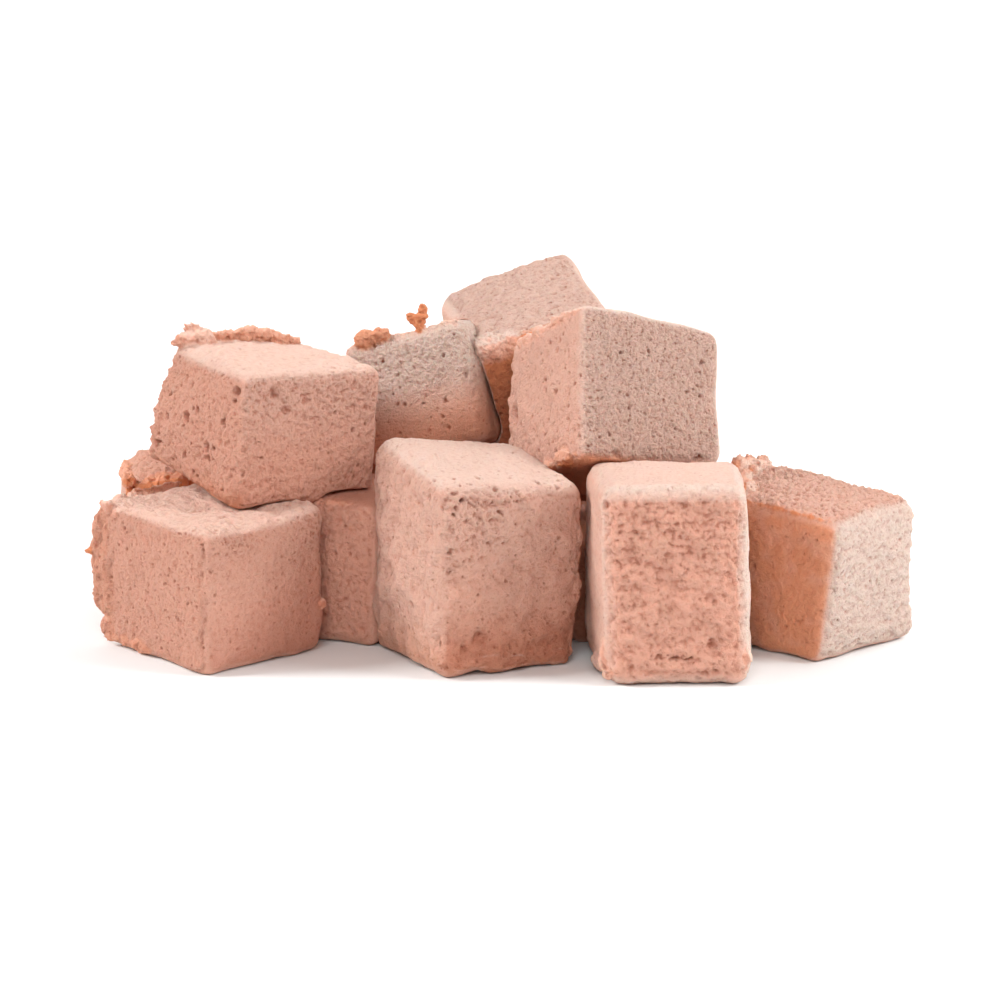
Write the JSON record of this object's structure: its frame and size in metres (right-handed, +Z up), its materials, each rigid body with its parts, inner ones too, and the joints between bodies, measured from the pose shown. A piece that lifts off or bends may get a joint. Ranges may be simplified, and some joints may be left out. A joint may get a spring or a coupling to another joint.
{
  "type": "heap of cube marshmallows",
  "caption": "Loose heap of soft, hand-cut cube marshmallows lying on a flat surface, the upper cubes leaning on the lower ones; a sweet to eat.",
  "frame": {"origin": "on the table, under the middle of the heap's box", "axes": "+X to the right along the row of marshmallows, +Y to the back of the heap, +Z up"},
  "size_m": [0.1568, 0.0982, 0.0658],
  "materials": {
    "marshmallow_pink": "matt, powdery and slightly translucent"
  },
  "bodies": {
    "root": {"marshmallow_front_left": "marshmallow_pink", "marshmallow_middle_left": "marshmallow_pink", "marshmallow_back_left": "marshmallow_pink", "marshmallow_front_centre": "marshmallow_pink", "marshmallow_front_right": "marshmallow_pink", "marshmallow_right_end": "marshmallow_pink", "marshmallow_under_centre": "marshmallow_pink", "marshmallow_under_right": "marshmallow_pink", "marshmallow_under_middle": "marshmallow_pink", "marshmallow_upper_left": "marshmallow_pink", "marshmallow_upper_centre": "marshmallow_pink", "marshmallow_upper_right": "marshmallow_pink", "marshmallow_top": "marshmallow_pink"}
  },
  "joints": []
}
